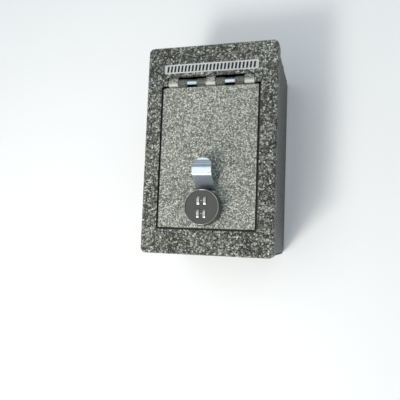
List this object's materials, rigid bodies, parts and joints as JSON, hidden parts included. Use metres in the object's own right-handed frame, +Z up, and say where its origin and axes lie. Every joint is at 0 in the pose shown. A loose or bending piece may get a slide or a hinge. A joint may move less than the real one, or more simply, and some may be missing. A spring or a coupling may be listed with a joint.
{
  "type": "console safe",
  "caption": "Steel lock box for a vehicle console: a deep box with a folded top frame, a flush hinged door, a round combination lock with number wheels and a bent finger pull.",
  "frame": {"origin": "middle of the underside of the box, on the surface it stands on", "axes": "+Z up through the door, +Y along the box towards the hinge, +X to the right as seen from the lock's end"},
  "size_m": [0.178, 0.28, 0.1925],
  "materials": {
    "coated_steel": "coarse textured powder coat, black with silver-grey speckle",
    "black_steel": "thin black paint",
    "polished_steel": "polished",
    "chrome": "bright chrome",
    "zinc_steel": "zinc plated",
    "silver_plate": "satin silver with a raised rim",
    "dark_casting": "satin dark grey",
    "wheel_metal": "bright, with a dark figure on each flat",
    "liner_foam": "black felt-faced foam"
  },
  "bodies": {
    "safe": {"top_frame": "coated_steel", "box_wrap": "coated_steel", "side_panel_left": "coated_steel", "side_panel_right": "coated_steel", "floor_liner": "liner_foam", "door_rest_left": "black_steel", "door_rest_right": "black_steel", "door_rest_front": "black_steel", "hinge_pin": "polished_steel", "hinge_sleeve_left": "polished_steel", "hinge_sleeve_right": "polished_steel", "badge_plate": "silver_plate"},
    "door": {"door_panel": "coated_steel", "hinge_leaf_left": "black_steel", "hinge_leaf_right": "black_steel", "pull_tab": "chrome", "lock_base": "zinc_steel", "lock_washer": "zinc_steel", "lock_nut": "zinc_steel"},
    "knob": {"knob_shell": "dark_casting", "knob_trim_ring": "chrome", "knob_back": "zinc_steel", "detent_leaf": "zinc_steel", "wheel_axle_upper": "zinc_steel", "wheel_axle_lower": "zinc_steel", "spindle": "zinc_steel", "cam": "zinc_steel", "cam_washer": "zinc_steel", "cam_screw": "zinc_steel"},
    "wheel_1": {"number_wheel_1": "wheel_metal"},
    "wheel_2": {"number_wheel_2": "wheel_metal"},
    "wheel_3": {"number_wheel_3": "wheel_metal"},
    "wheel_4": {"number_wheel_4": "wheel_metal"}
  },
  "joints": [
    {"name": "door_hinge", "type": "hinge", "parent": "safe", "child": "door", "pos_m": [0, 0.0903, 0.1587], "axis": [-1, 0, 0], "range_deg": [0, 100]},
    {"name": "knob_turn", "type": "hinge", "parent": "door", "child": "knob", "pos_m": [0, -0.079, 0.165], "axis": [0, 0, -1], "range_deg": [0, 90]},
    {"name": "wheel_1_turn", "type": "hinge", "parent": "knob", "child": "wheel_1", "pos_m": [-0.0042, -0.0707, 0.18015], "axis": [1, 0, 0], "continuous": true},
    {"name": "wheel_2_turn", "type": "hinge", "parent": "knob", "child": "wheel_2", "pos_m": [0.0042, -0.0707, 0.18015], "axis": [1, 0, 0], "continuous": true},
    {"name": "wheel_3_turn", "type": "hinge", "parent": "knob", "child": "wheel_3", "pos_m": [-0.0042, -0.0873, 0.18015], "axis": [1, 0, 0], "continuous": true},
    {"name": "wheel_4_turn", "type": "hinge", "parent": "knob", "child": "wheel_4", "pos_m": [0.0042, -0.0873, 0.18015], "axis": [1, 0, 0], "continuous": true}
  ]
}
